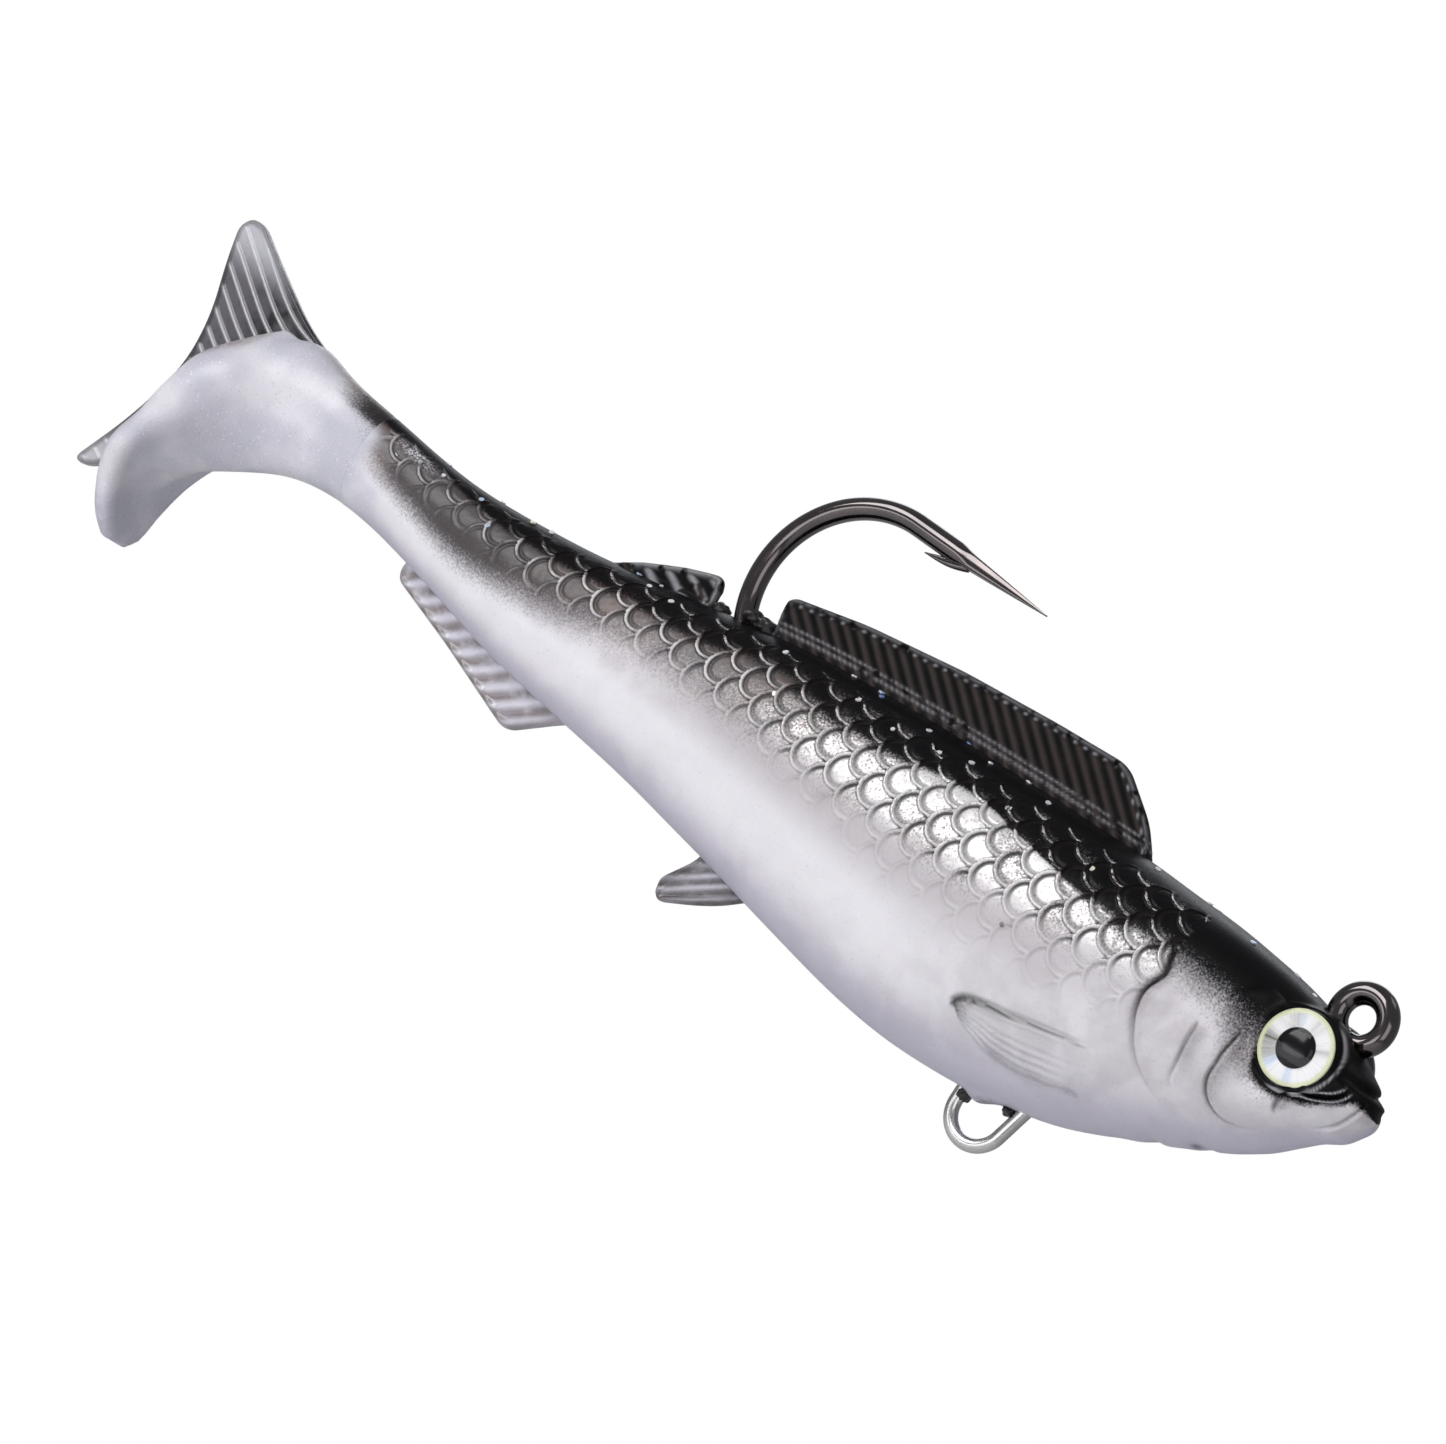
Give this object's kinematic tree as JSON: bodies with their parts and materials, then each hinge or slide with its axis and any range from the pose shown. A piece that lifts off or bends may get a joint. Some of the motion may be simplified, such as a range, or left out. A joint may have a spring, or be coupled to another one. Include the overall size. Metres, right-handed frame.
{
  "type": "swimbait",
  "caption": "Soft paddle-tail swimbait moulded round a weighted single hook, with a line-tie ring, a belly wire hanger and domed eyes.",
  "frame": {"origin": "centre of the line-tie ring", "axes": "+X to the fish's head along the body, +Y to the fish's left along the ring's hole, +Z to its back"},
  "size_m": [0.1131, 0.0156, 0.0345],
  "materials": {
    "soft_body": "glossy pearl plastisol, black back fading to lilac-white belly, embossed scales",
    "soft_tail": "milky translucent plastisol with fine glitter",
    "fin_dark": "glossy black plastisol with raised rays",
    "fin_clear": "translucent smoke plastisol with pale rays",
    "hook_wire": "black nickel",
    "hanger_wire": "bright drawn stainless wire",
    "lead": "dull grey as cast",
    "eye_foil": "holographic silver foil with a yellow-green rim",
    "eye_pupil": "gloss black",
    "eye_dome": "clear domed resin"
  },
  "bodies": {
    "root": {"body_front": "soft_body", "jig_weight": "lead", "hook": "hook_wire", "belly_hanger": "hanger_wire", "dorsal_fin_front": "fin_dark", "dorsal_fin_rear": "fin_dark", "pelvic_fin": "fin_clear", "pectoral_fin_left": "soft_body", "pectoral_fin_right": "soft_body", "eye_foil_left": "eye_foil", "eye_foil_right": "eye_foil", "eye_pupil_left": "eye_pupil", "eye_pupil_right": "eye_pupil", "eye_dome_left": "eye_dome", "eye_dome_right": "eye_dome"},
    "rear": {"body_rear": "soft_body", "anal_fin": "fin_clear"},
    "tail": {"tail_stalk": "soft_body", "tail_paddle": "soft_tail", "caudal_fin": "fin_clear"}
  },
  "joints": [
    {"name": "body_sweep", "type": "hinge", "parent": "root", "child": "rear", "pos_m": [-0.07, 0, -0.0065], "axis": [0, 0, 1], "range_deg": [-25, 25], "stiffness_Nm_per_rad": 0.01},
    {"name": "tail_kick", "type": "hinge", "parent": "rear", "child": "tail", "pos_m": [-0.09, 0, -0.0045], "axis": [0, 0, 1], "range_deg": [-35, 35], "stiffness_Nm_per_rad": 0.004}
  ]
}
